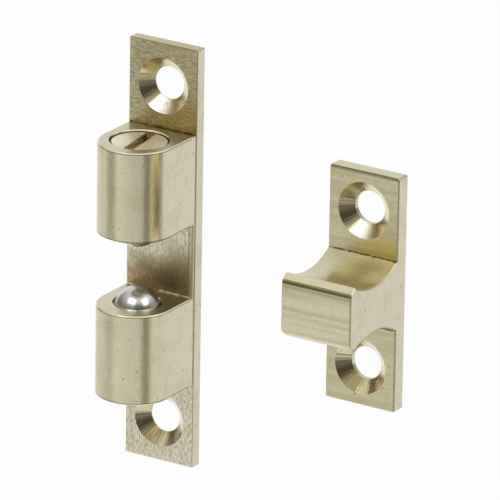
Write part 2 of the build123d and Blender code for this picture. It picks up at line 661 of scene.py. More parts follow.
@dataclass(frozen=True)
class MilledBrass:
    """Free-cutting brass, drawn along Z, with its fronts milled and its holes countersunk.

    Attributes:
        name: The material's name.
        holes: X and Z of each countersunk hole, in millimetres.
        level_above: Height above which the fronts are milled across. Below it they are milled along.
        drawn_beyond: Depth in front of the back face, in millimetres, past which all is as drawn.
        seed: Shifts the tarnish and the marks.
        stains: Its darker, paler and more golden places, real stain and painted shade and light alike.
        seams: The ragged lines of painted shade and painted highlight in its inside corners.
        lip: Colour of the painted shade along an outside corner under a bevel.
        lip_turned: The upward part of the surface's direction where that begins and is full.
        plate_front: Depth of the plate's front face, in millimetres.
        grain: How strongly the milled fronts are speckled.
        marked: How strongly the milled fronts show the cutter's lines.
        rims: Heights, above and below the middle, of the bosses' rims, which get a painted highlight line
            and a painted shade line.
        bands: How strongly slow bands of tone lie across the milled fronts.
        hatched: How strongly the fronts were also cut along, in full below level_above.
        drawn: Colour of the brass as drawn.
        milled: Colour of the milled fronts.
        flank_colour: Colour of the sides.
        groove: Colour in the depth of a scratch.
        deep: Colour of the slow tarnish and the bands, and of the painted shade on the side bevels.
        cone_colour: Colour of the countersinks.
        pit: Colour of the dark specks.
        fleck: Colour of the bright dashes, and of the painted highlight along the bosses' rims.
        burnt: Colour of the painted shade lines on the top-front bevels and beside the bosses' rims.
        scorched_colour: Colour of the countersinks' painted shade sectors.
        polished_colour: Colour of their painted highlight sector.
        hole_reach: How far the cones reach from their axis, in millimetres.
        scorched: Middle and half width, in degrees, of the painted shade sectors.
        polished: The same for the painted highlight sector, which only the upper hole has.
        chatter: How close the chatter's spokes stand.
        sector_play: How far chatter shifts the sectors' borders, in degrees.
        level_fineness: Lines a millimetre of the cut across, about.
        upright_fineness: The same for the cut along and the drawn skin.
        lines: How strongly fine lines show on the drawn skin and on the marked fronts.
        streaks: The same for slow streaks.
        crossed: The same for the lines of the second cut.
        drawn_rough: Roughness of the drawn skin.
        level_rough: Roughness of the ends and of other places cut level.
        front_rough: Roughness of the milled fronts.
        bevel_rough: Roughness of the bevels along the sides.
        cone_rough: Roughness of the countersinks.
        relief_depth: Depth of the marks, in metres.
    """

    name: str
    holes: tuple[tuple[float, float], ...]
    level_above: float
    drawn_beyond: float
    seed: float
    stains: tuple[StainAndPaintedLight, ...]
    seams: tuple[CornerLine, ...]
    lip: Colour
    lip_turned: tuple[float, float]
    plate_front: float
    grain: float
    marked: float
    rims: tuple[float, ...] = ()
    bands: float = 0.0
    hatched: float = 0.0
    drawn: Colour = (0.60, 0.565, 0.40, 1.0)
    milled: Colour = (0.62, 0.58, 0.39, 1.0)
    flank_colour: Colour = (0.62, 0.57, 0.44, 1.0)
    groove: Colour = (0.30, 0.25, 0.125, 1.0)
    deep: Colour = (0.47, 0.42, 0.25, 1.0)
    cone_colour: Colour = (0.68, 0.61, 0.41, 1.0)
    pit: Colour = (0.16, 0.13, 0.07, 1.0)
    fleck: Colour = (0.84, 0.79, 0.58, 1.0)
    burnt: Colour = (0.15, 0.13, 0.06, 1.0)
    scorched_colour: Colour = (0.35, 0.28, 0.20, 1.0)
    polished_colour: Colour = (0.86, 0.84, 0.80, 1.0)
    hole_reach: float = 4.05
    scorched: tuple[tuple[float, float], ...] = ((-160.0, 17.0), (-45.0, 24.0))
    polished: tuple[float, float] = (-106.0, 18.0)
    chatter: float = 7.0
    sector_play: float = 40.0
    level_fineness: float = 4.6
    upright_fineness: float = 6.0
    lines: tuple[float, float] = (0.17, 0.55)
    streaks: tuple[float, float] = (0.09, 0.4)
    crossed: float = 0.62
    drawn_rough: float = 0.16
    level_rough: float = 0.3
    front_rough: float = 0.34
    bevel_rough: float = 0.5
    cone_rough: float = 0.13
    relief_depth: float = 0.05 * MM

    def build(self, effects: SharedEffects) -> bpy.types.Material:
        """Builds the material.

        Args:
            effects: The shared node groups.

        Returns:
            The finished material.
        """
        material, g, surface = blank_material(self.name)
        at = Spot(*g.place(), *g.facing())
        cuts = self.find_cuts(g, at)
        marks = self.find_marks(g, effects, at, cuts)
        cones = self.find_cones(g, effects, at)
        tarnish = placed(g, effects.tarnish, Seed=self.seed).outputs
        base, stained_and_painted = self.tone(g, at, cuts, tarnish["Blotch"])
        base = self.scratch(g, at, cuts, marks, base, stained_and_painted)
        base = self.edge(g, at, cuts, base)
        base = g.mix(cones.mask, base, self.cone_colour)
        # Painted reflection on the countersinks: dark sectors of painted shade and a near-white sector of
        # painted highlight.
        base = g.mix(g.times(cones.scorched, 0.85), base, self.scorched_colour)
        base = g.mix(g.times(cones.polished, 0.9), base, self.polished_colour)
        base = g.mix(g.times(tarnish["Speck"], 0.55), base, self.pit)

        rough = g.lerp(cuts.front, g.lerp(cuts.level, self.drawn_rough, self.level_rough), self.front_rough)
        rough = g.lerp(cuts.broken, rough, self.bevel_rough)
        rough = g.lerp(cones.mask, rough, self.cone_rough)
        rough = g.math("ADD", rough, g.times(g.minus(marks.height, 0.5), 0.2), clamp=True)
        finish_metal(g, surface, base, rough)

        relief = g.times(marks.height, g.lerp(cuts.front, 0.45, 0.25 + 0.75 * self.marked))
        relief = g.lerp(cones.mask, relief, g.plus(g.times(cones.ring, 0.4), g.times(cones.spoke, 2.0)))
        relief = g.minus(relief, g.times(tarnish["Speck"], 0.8))
        finish_relief(g, surface, relief, self.relief_depth)
        return material

    def find_cuts(self, g: Graph, at: Spot) -> Cuts:
        """Finds how each place was worked, from where it is and how it faces.

        Args:
            g: The material's graph.
            at: The point.

        Returns:
            The masks.
        """
        plain = g.step(at.y, -self.drawn_beyond - 0.05, -self.drawn_beyond)
        front = g.times(g.step(at.ny, -0.85, -0.95), plain)
        flank = g.step(g.size(at.nx), 0.9, 0.99)
        faced = g.times(g.minus(1.0, flank), g.step(at.ny, 0.6, 0.4))
        across = g.times(plain, g.step(at.z, self.level_above - 0.05, self.level_above), faced)
        between = g.step(g.size(at.z), self.level_above + 0.1, self.level_above)
        return Cuts(
            front=front,
            flank=flank,
            faced=faced,
            level=g.most(g.step(g.size(at.nz), 0.85, 0.95), across),
            hatched=g.times(front, self.hatched, g.lerp(between, 0.42, 1.0)),
            broken=g.times(g.band(g.size(at.nx), DIAGONAL, 0.1, 0.06), plain),
        )

    def find_marks(self, g: Graph, effects: SharedEffects, at: Spot, cuts: Cuts) -> Marks:
        """Lays the cutter's marks across where a place was cut level, and along Z elsewhere.

        Args:
            g: The material's graph.
            effects: The shared node groups.
            at: The point.
            cuts: How it was worked.

        Returns:
            The marks.
        """
        level = placed(
            g,
            effects.marks,
            Across=g.plus(at.z, at.y),
            Along=at.x,
            Depth=2.0 + self.seed,
            Fineness=self.level_fineness,
        ).outputs
        upright = placed(
            g,
            effects.marks,
            Across=g.plus(at.x, g.times(at.y, 0.7)),
            Along=at.z,
            Depth=self.seed,
            Fineness=self.upright_fineness,
        ).outputs
        return Marks(
            *[g.lerp(cuts.level, upright[name], level[name]) for name in ("Height", "Streak", "Grain")],
            crossing=upright["Height"],
        )

    def find_cones(self, g: Graph, effects: SharedEffects, at: Spot) -> Cones:
        """Finds the countersinks' cones and the painted shade and painted highlight sectors on them.

        Args:
            g: The material's graph.
            effects: The shared node groups.
            at: The point.

        Returns:
            The cones' masks and heights.
        """
        mask, ring, spoke, scorched, polished = 0.0, 0.5, 0.5, 0.0, 0.0
        tilted = g.band(at.ny, -0.7, 0.12, 0.08)
        for hole_x, hole_z in self.holes:
            turned = placed(g, effects.turning, Axis_X=hole_x, Axis_Z=hole_z, Spokes=self.chatter).outputs
            near = g.times(g.step(turned["Radius"], self.hole_reach + 0.05, self.hole_reach), tilted)
            mask = g.most(mask, near)
            ring = g.lerp(near, ring, turned["Ring"])
            spoke = g.lerp(near, spoke, turned["Spoke"])
            angle = g.plus(turned["Angle"], g.times(g.minus(turned["Spoke"], 0.5), self.sector_play))
            # The sectors of painted shade, and below them the sector of painted highlight.
            for middle, half in self.scorched:
                scorched = g.most(scorched, g.times(near, g.band(angle, middle, half, 10.0)))
            polished = g.most(polished, g.times(near, g.band(angle, *self.polished, 6.0)))
        return Cones(mask, ring, spoke, scorched, g.times(polished, g.step(at.z, 0.0, 1.0)))

    def tone(self, g: Graph, at: Spot, cuts: Cuts, blotch: Socket) -> tuple[Socket, Socket]:
        """Gives the brass its own colour, its tarnish, and its patches of real stain and of painted shade
        and light.

        Args:
            g: The material's graph.
            at: The point.
            cuts: How it was worked.
            blotch: The slow tarnish, around 0.5.

        Returns:
            The colour, and how far the place is covered by such a patch.
        """
        base = g.mix(cuts.front, self.drawn, self.milled)
        base = g.mix(cuts.flank, base, self.flank_colour)
        base = g.mix(g.times(g.step(blotch, 0.45, 0.7), 0.35), base, self.deep)
        stained_and_painted = 0.0
        # Each patch is a real stain, painted shade or painted light.
        for stain in self.stains:
            share = g.times(stain.mask(g, at), cuts.faced)
            base = g.mix(share, base, stain.colour)
            stained_and_painted = g.most(stained_and_painted, share)
        return base, stained_and_painted

    def scratch(self, g: Graph, at: Spot, cuts: Cuts, marks: Marks, base: Socket, stained_and_painted: Socket) -> Socket:
        """Lays the dark and bright dashes, the slow bands and the scratches over the colour.

        Args:
            g: The material's graph.
            at: The point.
            cuts: How it was worked.
            marks: What the cutter left there.
            base: The colour so far.
            stained_and_painted: How far such a patch covers the place, which softens its bright dashes.

        Returns:
            The colour with the marks.
        """
        grained = g.times(cuts.front, cuts.faced, g.lerp(cuts.hatched, self.grain, 0.5))
        base = g.mix(g.times(g.step(marks.grain, 0.53, 0.36), grained), base, self.groove)
        flecked = g.times(g.step(marks.grain, 0.52, 0.66), grained, g.lerp(stained_and_painted, 0.75, 0.45))
        base = g.mix(flecked, base, self.fleck)
        slow = g.noise(g.join(g.times(at.x, 0.03), 0.0, g.times(at.z, 0.9)), 1.0, 2.0, 0.5)
        base = g.mix(g.times(cuts.front, self.bands, g.step(slow, 0.56, 0.40)), base, self.deep)
        (on_skin, on_front), (skin_streak, front_streak) = self.lines, self.streaks
        line = g.times(g.step(marks.height, 0.53, 0.33), g.lerp(cuts.front, on_skin, on_front * self.marked))
        streak = g.lerp(cuts.front, skin_streak, front_streak * self.marked)
        streak = g.times(g.step(marks.streak, 0.5, 0.34), streak)
        crossed = g.times(g.step(marks.crossing, 0.54, 0.36), self.crossed, cuts.hatched)
        return g.mix(g.most(line, streak, crossed), base, self.groove)

    def edge(self, g: Graph, at: Spot, cuts: Cuts, base: Socket) -> Socket:
        """Paints over the colour: the inside corners' lines, painted shade under and on the top bevels, a
        painted highlight and a shade line at the bosses' rims, and painted shade on the side bevels.

        Args:
            g: The material's graph.
            at: The point.
            cuts: How it was worked.
            base: The colour so far.

        Returns:
            The colour with its edges.
        """
        ragged = g.noise(g.join(at.x, at.y, at.z), 1.3, 5.0, 0.7)
        # The inside corners' painted lines: shade where dark, highlight where light.
        for seam in self.seams:
            base = g.mix(seam.mask(g, ragged, at), base, seam.colour)
        # Painted shade: a dark line on the face just under the top bevel.
        under_bevel = g.times(g.window(at.nz, (*self.lip_turned, 0.56, 0.62)), g.step(at.ny, -0.77, -0.81))
        base = g.mix(under_bevel, base, self.lip)
        # Painted shade on the top-front bevels of the plate.
        top_edge = g.times(g.band(at.nz, DIAGONAL, 0.06, 0.05), g.band(at.ny, -DIAGONAL, 0.06, 0.05))
        top_edge = g.times(top_edge, g.step(at.y, self.plate_front - 0.1, self.plate_front - 0.02))
        base = g.mix(g.times(top_edge, 0.8), base, self.burnt)
        bosses = g.step(at.y, self.plate_front - 0.8, self.plate_front - 1.2)
        # At each boss rim: a painted highlight line on the end face at the rim, and a painted shade line
        # just inside it.
        for rim in self.rims:
            inward = g.times(g.minus(rim, g.size(at.z)), 1.0 if rim > self.level_above else -1.0)
            rim_highlight = g.times(g.band(inward, 0.04, 0.08, 0.03), g.step(g.size(at.nz), 0.9, 0.8))
            under = g.band(inward, 0.21, 0.04, 0.05)
            base = g.mix(g.times(rim_highlight, bosses, 0.8), base, self.fleck)
            base = g.mix(g.times(under, bosses, 0.75), base, self.burnt)
        # Painted shade on the side bevels, which dims their glint.
        return g.mix(g.times(cuts.broken, 0.5), base, self.deep)


@dataclass(frozen=True)
class TurnedBrass:
    """The adjusting screws: faced on the ends, slotted, and threaded on the round.

    Attributes:
        name: The material's name.
        axis_y: Depth of the screws' axis, in millimetres.
        pitch: The thread's pitch, in millimetres.
        rim: Where the face ends and its bevel begins, in millimetres from the axis.
        face: Height of the slotted faces above and below the middle, in millimetres.
        colour: The faces' common colour.
        pale: Their lighter patches.
        rubbed: A painted highlight over their right half.
        slot: Painted shade in the slot.
        edge: Painted shade on the bevel at the rim, on the round and at the slot's far end.
        rough: Roughness of the faces and of the round.
        thread_depth: Depth of the thread as relief, in metres.
        seed: Shifts the lighter patches.
    """

    name: str = "Turned brass"
    axis_y: float = -7.5
    pitch: float = 0.75
    rim: float = 3.82
    face: float = 17.75
    colour: Colour = (0.77, 0.68, 0.53, 1.0)
    pale: Colour = (0.84, 0.77, 0.66, 1.0)
    rubbed: Colour = (1.0, 0.89, 0.64, 1.0)
    slot: Colour = (0.68, 0.57, 0.37, 1.0)
    edge: Colour = (0.16, 0.12, 0.06, 1.0)
    rough: tuple[float, float] = (0.44, 0.32)
    thread_depth: float = 0.25 * MM
    seed: float = 4.0

    def build(self, effects: SharedEffects) -> bpy.types.Material:
        """Builds the material.

        Args:
            effects: The shared node groups.

        Returns:
            The finished material.
        """
        material, g, surface = blank_material(self.name)
        x, y, z = g.place()
        _, _, nz = g.facing()
        wall = g.step(g.size(nz), 0.3, 0.15)
        thread = placed(g, effects.thread, Axis_Y=self.axis_y, Pitch=self.pitch).outputs["Height"]
        off = g.minus(y, self.axis_y)
        radius = g.distance(x, off)
        rings = g.noise(g.join(g.times(radius, 6.0), 0.0, 0.0), 1.0, 3.0, 0.6)
        blotch = placed(g, effects.tarnish, Seed=self.seed).outputs["Blotch"]
        base = g.mix(g.step(blotch, 0.35, 0.65), self.pale, self.colour)
        # Painted highlight: the faces' right half made brighter.
        base = g.mix(g.times(g.step(x, -0.2, 0.9), 0.6), base, self.rubbed)
        inside = g.step(radius, self.rim - 0.12, self.rim - 0.16)
        sunk = g.step(g.size(z), self.face - 0.1, self.face - 0.3)
        # Painted shade on the slot's walls and floor.
        base = g.mix(g.times(inside, g.most(wall, sunk)), base, self.slot)
        # Painted shade at the slot's far end, and a dark ring from the rim's bevel outwards.
        far_end = g.times(inside, sunk, g.step(off, 2.4, 3.0))
        base = g.mix(g.most(far_end, g.step(radius, self.rim - 0.06, self.rim)), base, self.edge)
        finish_metal(g, surface, base, g.lerp(wall, *self.rough))
        finish_relief(g, surface, g.lerp(wall, g.times(rings, 0.16), thread), self.thread_depth)
        return material


@dataclass(frozen=True)
class BearingSteel:
    """Ground and polished steel, very slightly uneven in tone.

    Attributes:
        name: The material's name.
        colour: Its brightest tone.
        dull: The tone that it turns to in places.
        rough: Roughness where it is bright and where it is dull.
        seed: Shifts its unevenness.
    """

    name: str = "Bearing steel"
    colour: Colour = (0.59, 0.59, 0.595, 1.0)
    dull: Colour = (0.5, 0.5, 0.52, 1.0)
    rough: tuple[float, float] = (0.20, 0.25)
    seed: float = 9.0

    def build(self, effects: SharedEffects) -> bpy.types.Material:
        """Builds the material.

        Args:
            effects: The shared node groups.

        Returns:
            The finished material.
        """
        material, g, surface = blank_material(self.name)
        blotch = placed(g, effects.tarnish, Seed=self.seed).outputs["Blotch"]
        base = g.mix(g.times(blotch, 0.5), self.colour, self.dull)
        finish_metal(g, surface, base, g.lerp(blotch, *self.rough))
        return material


@dataclass(frozen=True)
class SpringWire:
    """Drawn spring wire: dark steel with die lines along it.

    Attributes:
        name: The material's name.
        colour: Its darkest tone.
        bright: The tone of the die lines.
        rust: The tone of its rare specks.
        rough: Roughness beside the die lines and on them.
        seed: Shifts its specks.
    """

    name: str = "Spring wire"
    colour: Colour = (0.33, 0.32, 0.31, 1.0)
    bright: Colour = (0.5, 0.49, 0.47, 1.0)
    rust: Colour = (0.1, 0.08, 0.06, 1.0)
    rough: tuple[float, float] = (0.25, 0.45)
    seed: float = 2.0

    def build(self, effects: SharedEffects) -> bpy.types.Material:
        """Builds the material.

        Args:
            effects: The shared node groups.

        Returns:
            The finished material.
        """
        material, g, surface = blank_material(self.name)
        along, around, _ = g.split(g.node("ShaderNodeUVMap", uv_map="along_wire").outputs[0])
        lines = g.noise(g.join(g.times(along, 0.6), g.times(around, 14.0), 0.0), 1.0, 4.0, 0.6)
        speck = placed(g, effects.tarnish, Seed=self.seed).outputs["Speck"]
        base = g.mix(g.times(lines, 0.7), self.colour, self.bright)
        base = g.mix(g.times(speck, 0.6), base, self.rust)
        finish_metal(g, surface, base, g.lerp(lines, *self.rough))
        return material


def tube_mesh(name: str, points: np.ndarray, uv_name: str, uv: np.ndarray) -> bpy.types.Mesh:
    """Makes a tube of a rectangular grid of points, with both end rings closed by a flat face.

    Args:
        name: The mesh's name.
        points: Array of shape (rows, columns, 3), in metres. Columns run round the section.
        uv_name: The name of the map that holds each point's grid place.
        uv: Array of shape (rows, columns + 1, 2), with the seam's column given twice.

    Returns:
        The mesh, smooth shaded.
    """
    rows, columns, _ = points.shape
    r, c = np.meshgrid(np.arange(rows - 1), np.arange(columns), indexing="ij")
    right = (c + 1) % columns
    corners = (r * columns + c, r * columns + right, (r + 1) * columns + right, (r + 1) * columns + c)
    quads = np.stack(corners, -1).reshape(-1, 4)
    places = np.stack([uv[r, c], uv[r, c + 1], uv[r + 1, c + 1], uv[r + 1, c]], 2).reshape(-1, 2)
    ends = [list(range(columns))[::-1], list(range((rows - 1) * columns, rows * columns))]
    mesh = bpy.data.meshes.new(name)
    mesh.from_pydata(points.reshape(-1, 3).tolist(), [], quads.tolist() + ends)
    layer = mesh.uv_layers.new(name=uv_name)
    caps = np.concatenate([uv[0, :-1][::-1], uv[-1, :-1]])
    layer.data.foreach_set("uv", np.concatenate([places, caps]).astype(np.float32).ravel())
    mesh.polygons.foreach_set("use_smooth", np.r_[np.ones(len(quads), bool), np.zeros(2, bool)])
    mesh.update()
    return mesh


@dataclass
class CoilSpring:
    """A compression spring of round wire with its end turns closed up and ground flat.

    It is shortened from both ends, and a piece follows one joint, so it is made in two lengths that
    meet at a point that neither joint moves.

    Attributes:
        node: The CAD node that it stands for.
        ball: The body of the ball that it pushes.
        seat: The body that its other end stands on.
        ball_joint: The joint that moves the ball.
        seat_joint: The joint that moves the seat.
        side: Which bore it is in.
        ball_travel: How far the ball goes in, in metres.
        seat_travel: How far the seat goes in, in metres.
        axis_y: Depth of its axis, in metres.
        wire_radius: Radius of its wire, in metres.
        coil_radius: From its axis to the middle of the wire, in metres.
        working_turns: Its open turns.
        end_turns: Its closed turns at each end.
        steps_a_turn: Rows of the mesh in one turn.
        steps_round: Points of the mesh round the wire.
        wire_a_turn: Length of wire in a turn, in millimetres, for the map along it.
        seam_gap: What is left open where the lengths meet, as a share of one row.
    """

    node: str
    ball: str
    seat: str
    ball_joint: str
    seat_joint: str
    side: Side
    ball_travel: float = 2.0 * MM
    seat_travel: float = 0.937 * MM
    axis_y: float = -7.5 * MM
    wire_radius: float = 0.35 * MM
    coil_radius: float = 2.5 * MM
    working_turns: float = 3.5
    end_turns: float = 0.9
    steps_a_turn: int = 56
    steps_round: int = 18
    wire_a_turn: float = 15.7
    seam_gap: float = 0.15

    @property
    def turns(self) -> float:
        """Gives its turns from one end of the wire to the other."""
        return 2.0 * self.end_turns + self.working_turns

    def rise(self, turn: np.ndarray, length: float) -> np.ndarray:
        """Gives the wire's height at each turn: one wire a turn at the ends, evenly open between.

        Args:
            turn: Turns from the first end.
            length: Height from one ground face to the other, in metres.

        Returns:
            Heights of the wire's centre above the first ground face, in metres.
        """
        closed = 2.0 * self.wire_radius * self.end_turns
        stations = [0.0, self.end_turns, self.end_turns + self.working_turns, self.turns]
        even = np.interp(turn, stations, [0.0, closed, length - closed, length])
        kernel = np.hanning(self.steps_a_turn // 2 + 1)
        padded = np.pad(even, len(kernel) // 2, mode="reflect", reflect_type="odd")
        return np.convolve(padded, kernel / kernel.sum(), mode="valid")

    def surface(self, low: float, high: float) -> tuple[np.ndarray, np.ndarray]:
        """Sweeps a circle of wire along the helix (R cos t, R sin t, rise t), square to the helix.

        The circle's axes are the way out from the spring's axis and the wire's direction crossed
        with it. Points past a ground face are pressed back onto it.

        Args:
            low: Height of the lower ground face, in metres.
            high: Height of the upper ground face, in metres.

        Returns:
            The grid of points and the grid of places along and round the wire.
        """
        turn = np.linspace(0.0, self.turns, int(self.turns * self.steps_a_turn) + 1)
        t = 2.0 * np.pi * turn
        height = low + self.rise(turn, high - low)
        outward = np.stack([np.cos(t), np.sin(t), np.zeros_like(t)], -1)
        axis = np.stack([np.zeros_like(t), np.full_like(t, self.axis_y), height], -1)
        centre = self.coil_radius * outward + axis
        ahead = np.gradient(centre, axis=0)
        ahead /= np.linalg.norm(ahead, axis=1, keepdims=True)
        side = np.cross(ahead, outward)
        a = np.linspace(0.0, 2.0 * np.pi, self.steps_round, endpoint=False)
        ring = np.cos(a)[None, :, None] * outward[:, None] + np.sin(a)[None, :, None] * side[:, None]
        points = centre[:, None] + self.wire_radius * ring
        points[..., 2] = np.clip(points[..., 2], low, high)
        round_share = np.linspace(0.0, 1.0, self.steps_round + 1)
        uv = np.stack(np.broadcast_arrays(turn[:, None] * self.wire_a_turn, round_share[None, :]), -1)
        return points[:, ::-1], uv

    def make_length(
        self, end: str, grid: tuple[np.ndarray, np.ndarray], material: bpy.types.Material
    ) -> bpy.types.Object:
        """Makes one of the spring's two lengths.

        Args:
            end: What the new piece's name ends with.
            grid: Its rows of the surface's points and places.
            material: The wire's finish.

        Returns:
            The piece, which stands for the spring's CAD node.
        """
        mesh = tube_mesh(self.node + end, grid[0], "along_wire", grid[1])
        mesh.materials.append(material)
        piece = bpy.data.objects.new(self.node + end, mesh)
        bpy.context.scene.collection.objects.link(piece)
        LOG.info("%s: %d faces", piece.name, len(mesh.polygons))
        return piece

    def build(self, material: bpy.types.Material) -> list[bpy.types.Object]:
        """Builds the spring between the ball and the screw that its CAD node lies between.

        The lengths are shared out as the travels are, so both shorten by the same share.

        Args:
            material: The wire's finish.

        Returns:
            The length that ends on the ball and the one that ends on the seat.
        """
        low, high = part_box(self.node)
        points, uv = self.surface(low.z, high.z)
        travel = self.ball_travel + self.seat_travel
        share = self.ball_travel / travel if self.side is Side.UPPER else self.seat_travel / travel
        meeting = int(np.searchsorted(points[..., 2].mean(axis=1), low.z + share * (high.z - low.z)))
        lower = (points[: meeting + 1].copy(), uv[: meeting + 1])
        upper = (points[meeting:], uv[meeting:])
        lower[0][-1] += self.seam_gap * (points[meeting - 1] - points[meeting])
        ends = [(lower, low.z), (upper, high.z)]
        if self.side is Side.LOWER:
            ends.reverse()
        pieces = []
        riders = (
            ("_ball_length", self.ball, self.ball_joint),
            ("_seat_length", self.seat, self.seat_joint),
        )
        for (grid, end_height), (end, body, joint) in zip(ends, riders):
            piece = self.make_length(end, grid, material)
            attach(piece, body)
            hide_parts(self.node)
            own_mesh(piece)
            pieces.append(piece)
        return pieces


def coat(obj: bpy.types.Object, material: bpy.types.Material) -> None:
    """Puts one material on every slot of a piece.

    Args:
        obj: The piece.
        material: Its finish.
    """
    if not obj.material_slots:
        obj.data.materials.append(material)
    for slot in obj.material_slots:
        slot.material = material
    LOG.info("%s: %s", obj.name, material.name)


@dataclass
class CatchBody:
    """The catch's milled body, with its two balls, springs and adjusting screws.

    Attributes:
        hole_height: Height of the screw holes above and below the middle, in millimetres.
        plate_front: Depth of the plate's front face, in millimetres.
        floor_front: Depth of the gap's floor, in millimetres.
        gap_edge: Height of the gap's two sides above and below the middle, in millimetres.
        half_width: Half the plate's width, in millimetres.
        boss_top: Height of the bosses' outer ends, in millimetres.
        nose_starts: Depth past which the bosses are as drawn, in millimetres.
        springs: The finished springs' lengths.
    """

    hole_height: float = 24.0
    plate_front: float = -1.8
    floor_front: float = -2.2
    gap_edge: float = 5.2
    half_width: float = 5.45
    boss_top: float = 18.0
    nose_starts: float = 3.0
    springs: list[bpy.types.Object] = field(default_factory=list)

    def stains(self) -> tuple[StainAndPaintedLight, ...]:
        """Gives the gap's floor painted paler in its upper part and painted shade at its foot and lower
        right, a real reddish stain, a painted highlight strip along its right side, and the plates' painted
        reflection.

        Returns:
            The patches, the lowest first.
        """
        gap, top = self.gap_edge, self.boss_top
        face = (self.floor_front - 0.3, self.floor_front - 0.1, 0.5, 1.0)
        floor, foot = (-gap - 0.1, -gap, gap, gap + 0.1), (-gap - 0.1, -gap)
        # Where the floor's right edge gets a painted highlight strip, with a dark line along its inner side.
        pale_strip = (self.half_width - 0.75, self.half_width - 0.65, self.half_width, self.half_width + 1.0)
        line = (pale_strip[0] - 0.12, pale_strip[0] - 0.04, pale_strip[0] + 0.04, pale_strip[0] + 0.12)
        plate, above = (top - 0.1, top, 33.0, 36.0), (top - 0.1, top, top + 2.4, top + 5.6)
        below = (-33.0, -32.0, -top, -top + 0.1)
        # Painted light: the gap's floor paler in its upper part.
        bright_head = StainAndPaintedLight((0.88, 0.84, 0.68, 1.0), 0.75, EVERYWHERE, face, (-2.0, 0.5, gap, gap + 0.1))
        # Painted shade at the gap's foot, by the lower boss and ball.
        brown_foot = StainAndPaintedLight((0.20, 0.135, 0.055, 1.0), 0.85, (-5.0, -2.5, 9.0, 9.1), face, (*foot, -2.6, 0.8))
        reddish = StainAndPaintedLight((0.44, 0.25, 0.17, 1.0), 0.7, (-6.5, -3.6, -2.6, -0.6), face, (*foot, -3.2, -2.0))
        # Painted shade on the lower right of the gap's floor.
        dark_right = StainAndPaintedLight((0.26, 0.19, 0.09, 1.0), 0.7, (-0.5, 2.6, 9.0, 9.1), face, (*foot, -0.6, 3.2))
        # A painted highlight strip along the floor's right edge, and a dark line along its inner side.
        edge_highlight_strip = StainAndPaintedLight((0.62, 0.53, 0.34, 1.0), 0.7, pale_strip, face, floor)
        dark_line_by_strip = StainAndPaintedLight((0.16, 0.11, 0.05, 1.0), 0.7, line, face, floor)
        # Painted reflection: the upper plate darker, painted shade just above the upper boss, and the lower
        # plate paler.
        upper_plate = StainAndPaintedLight((0.42, 0.37, 0.20, 1.0), 0.75, (-16.0, 3.0, 9.0, 9.1), face, plate)
        above_boss = StainAndPaintedLight((0.39, 0.28, 0.10, 1.0), 0.75, (-4.5, 1.5, 9.0, 9.1), face, above)
        lower_plate = StainAndPaintedLight((0.84, 0.79, 0.67, 1.0), 0.8, EVERYWHERE, face, below)
        on_floor = (bright_head, brown_foot, reddish, dark_right, edge_highlight_strip, dark_line_by_strip)
        return (*on_floor, upper_plate, above_boss, lower_plate)

    def seams(self) -> tuple[CornerLine, ...]:
        """Gives the painted lines where the bosses' ends meet the plate and the gap's floor.

        Returns:
            The dark painted shade above the upper boss and the light painted highlight at the gap's foot.
        """
        # Painted shade in the corner above the upper boss; painted highlight along the gap's foot.
        light, dark = (0.90, 0.82, 0.62, 1.0), (0.17, 0.11, 0.04, 1.0)
        return (
            CornerLine(self.plate_front, self.boss_top, 0.1, dark),
            CornerLine(self.floor_front - 0.06, -self.gap_edge + 0.06, 0.09, light),
        )

    def dress(self, frame: dict, effects: SharedEffects) -> None:
        """Gives every piece of the catch its finish and builds its springs.

        Args:
            frame: The loaded CAD frame.
            effects: The shared node groups.
        """
        brass = MilledBrass(
            "Milled brass, catch",
            holes=((0.0, self.hole_height), (0.0, -self.hole_height)),
            level_above=self.gap_edge,
            drawn_beyond=self.nose_starts,
            seed=0.0,
            stains=self.stains(),
            seams=self.seams(),
            # The lip colour is painted shade under the top bevels.
            lip=(0.45, 0.40, 0.25, 1.0),
            lip_turned=(0.2, 0.3),
            plate_front=self.plate_front,
            grain=0.8,
            marked=0.8,
            rims=(self.boss_top, self.gap_edge),
            hatched=1.0,
        )
        coat(frame["nodes"]["catch_body"], brass.build(effects))
        screw = TurnedBrass().build(effects)
        steel = BearingSteel().build(effects)
        wire = SpringWire().build(effects)
        for side in Side:
            coat(frame["nodes"][side.word + "_adjusting_screw"], screw)
            coat(frame["nodes"][side.word + "_ball"], steel)
            ends = ("_spring", "_ball", "_spring_seat", "_ball_slide", "_screw_travel")
            spring = CoilSpring(*[side.word + end for end in ends], side)
            self.springs.extend(spring.build(wire))


